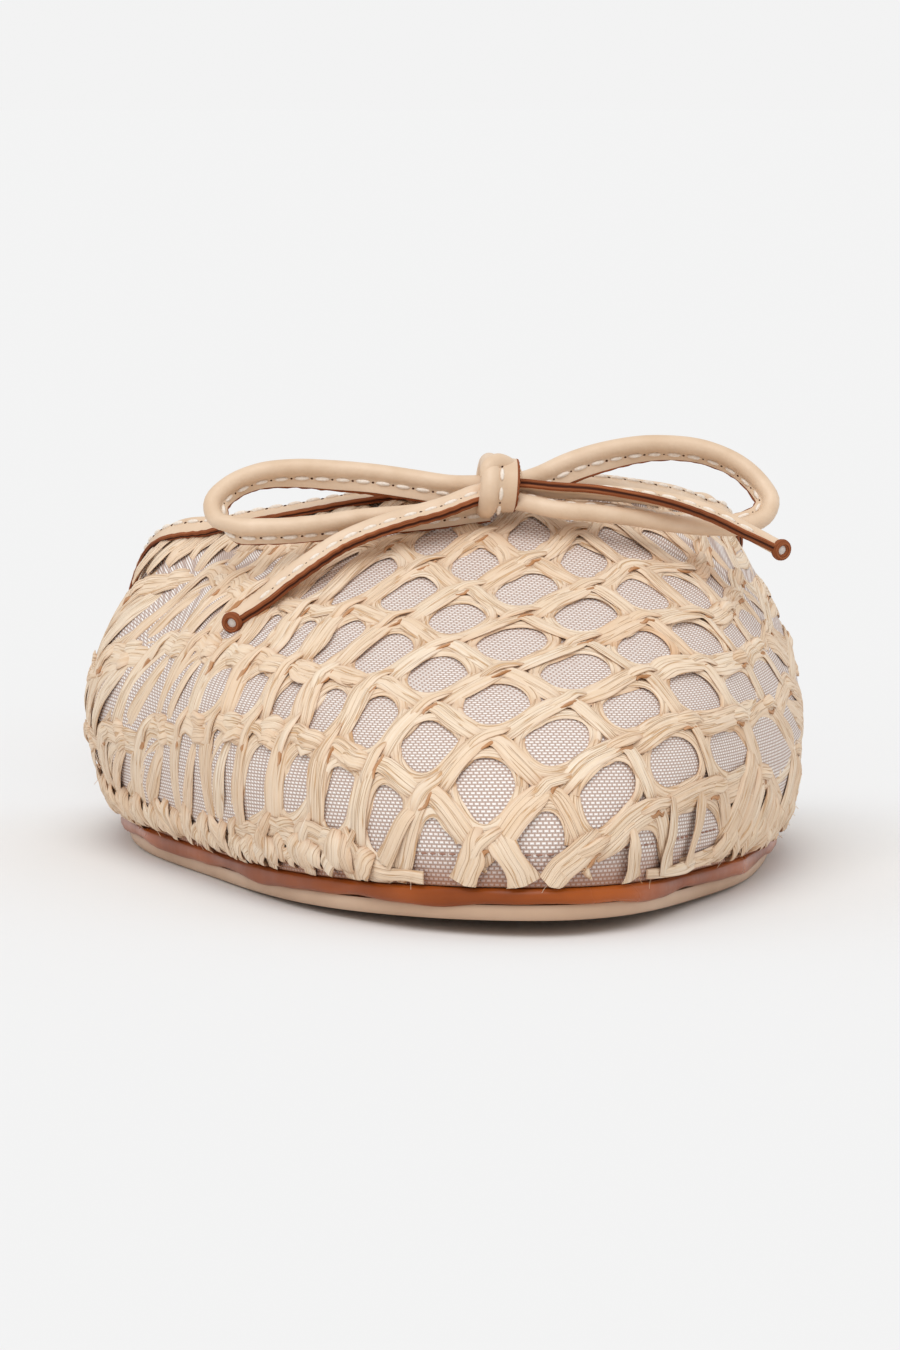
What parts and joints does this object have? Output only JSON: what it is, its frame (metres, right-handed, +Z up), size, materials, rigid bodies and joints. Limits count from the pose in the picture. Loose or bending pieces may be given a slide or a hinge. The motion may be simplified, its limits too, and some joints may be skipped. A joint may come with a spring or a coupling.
{
  "type": "raffia sandal",
  "caption": "Closed-toe backless slip-on sandal with a knotted raffia net vamp over a mesh lining, corded leather topline and bow, and a thin flat sole with a low heel.",
  "frame": {"origin": "middle of the bounds, on the floor under the sole", "axes": "+Y from toe to heel, +Z up, +X towards the inner side of the foot"},
  "size_m": [0.0884, 0.2452, 0.0523],
  "materials": {
    "outsole_rubber": "matt beige",
    "sole_edge": "glossy dyed brown edge",
    "footbed": "smooth, semi-matt",
    "raffia": "natural straw, fibrous satin",
    "leather": "smooth beige, soft sheen"
  },
  "bodies": {
    "root": {"outsole": "outsole_rubber", "midsole": "sole_edge", "insole": "footbed", "upper": "raffia", "topline_binding": "leather", "bow_loop_lateral": "leather", "bow_loop_medial": "leather", "bow_tail_lateral": "leather", "bow_tail_medial": "leather", "bow_knot": "leather"}
  },
  "joints": []
}
